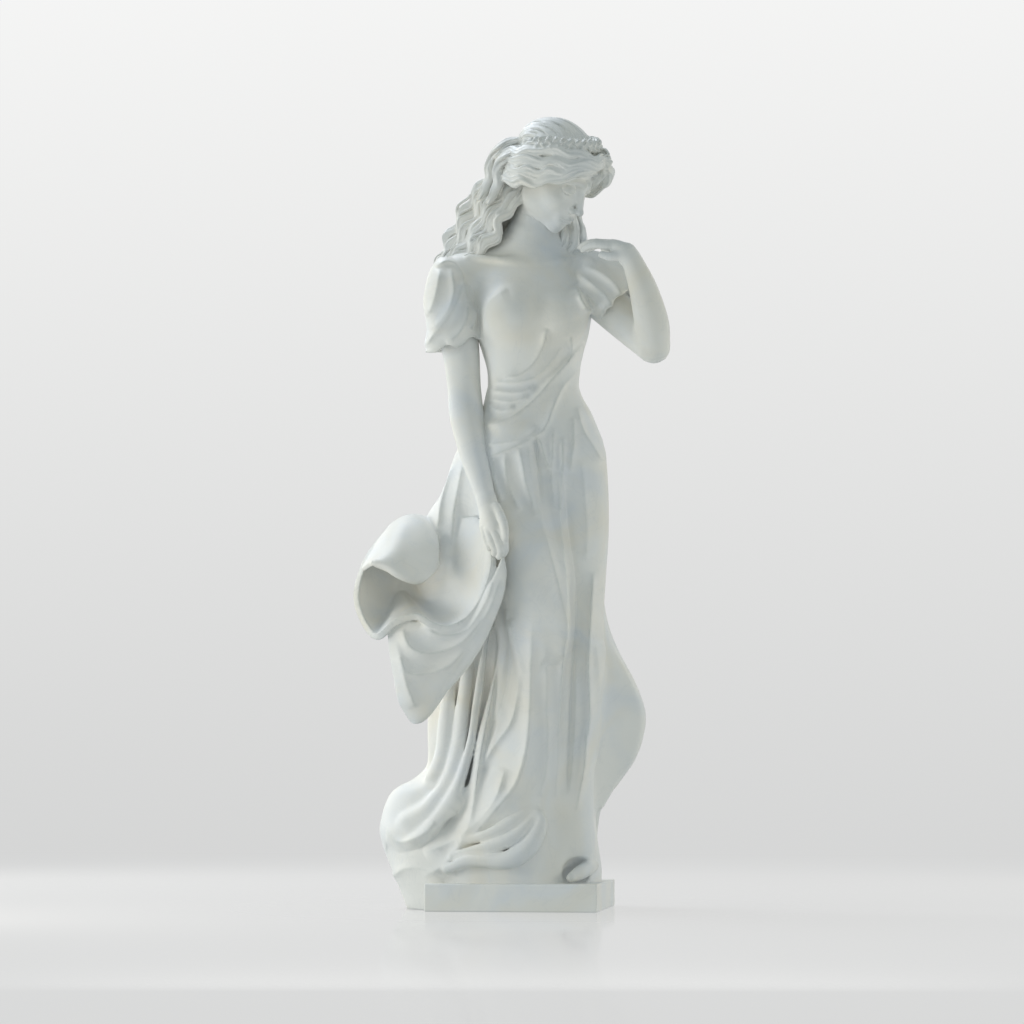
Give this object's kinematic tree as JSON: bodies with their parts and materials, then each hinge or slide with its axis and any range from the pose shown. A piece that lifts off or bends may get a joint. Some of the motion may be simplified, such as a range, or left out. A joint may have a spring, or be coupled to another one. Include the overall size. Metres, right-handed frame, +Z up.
{
  "type": "marble statue",
  "caption": "Draped woman looking down to one side, one hand raised to the shoulder and the other holding out the skirt, on a square plinth.",
  "frame": {"origin": "centre of the square plinth's underside, on the ground", "axes": "+Z up; -Y is the plinth's front face, and the figure is turned about 8 degrees toward +X from it; +X to the viewer's right"},
  "size_m": [0.6635, 0.3994, 1.6874],
  "materials": {
    "marble": "honed white marble"
  },
  "bodies": {
    "root": {"statue": "marble"}
  },
  "joints": []
}
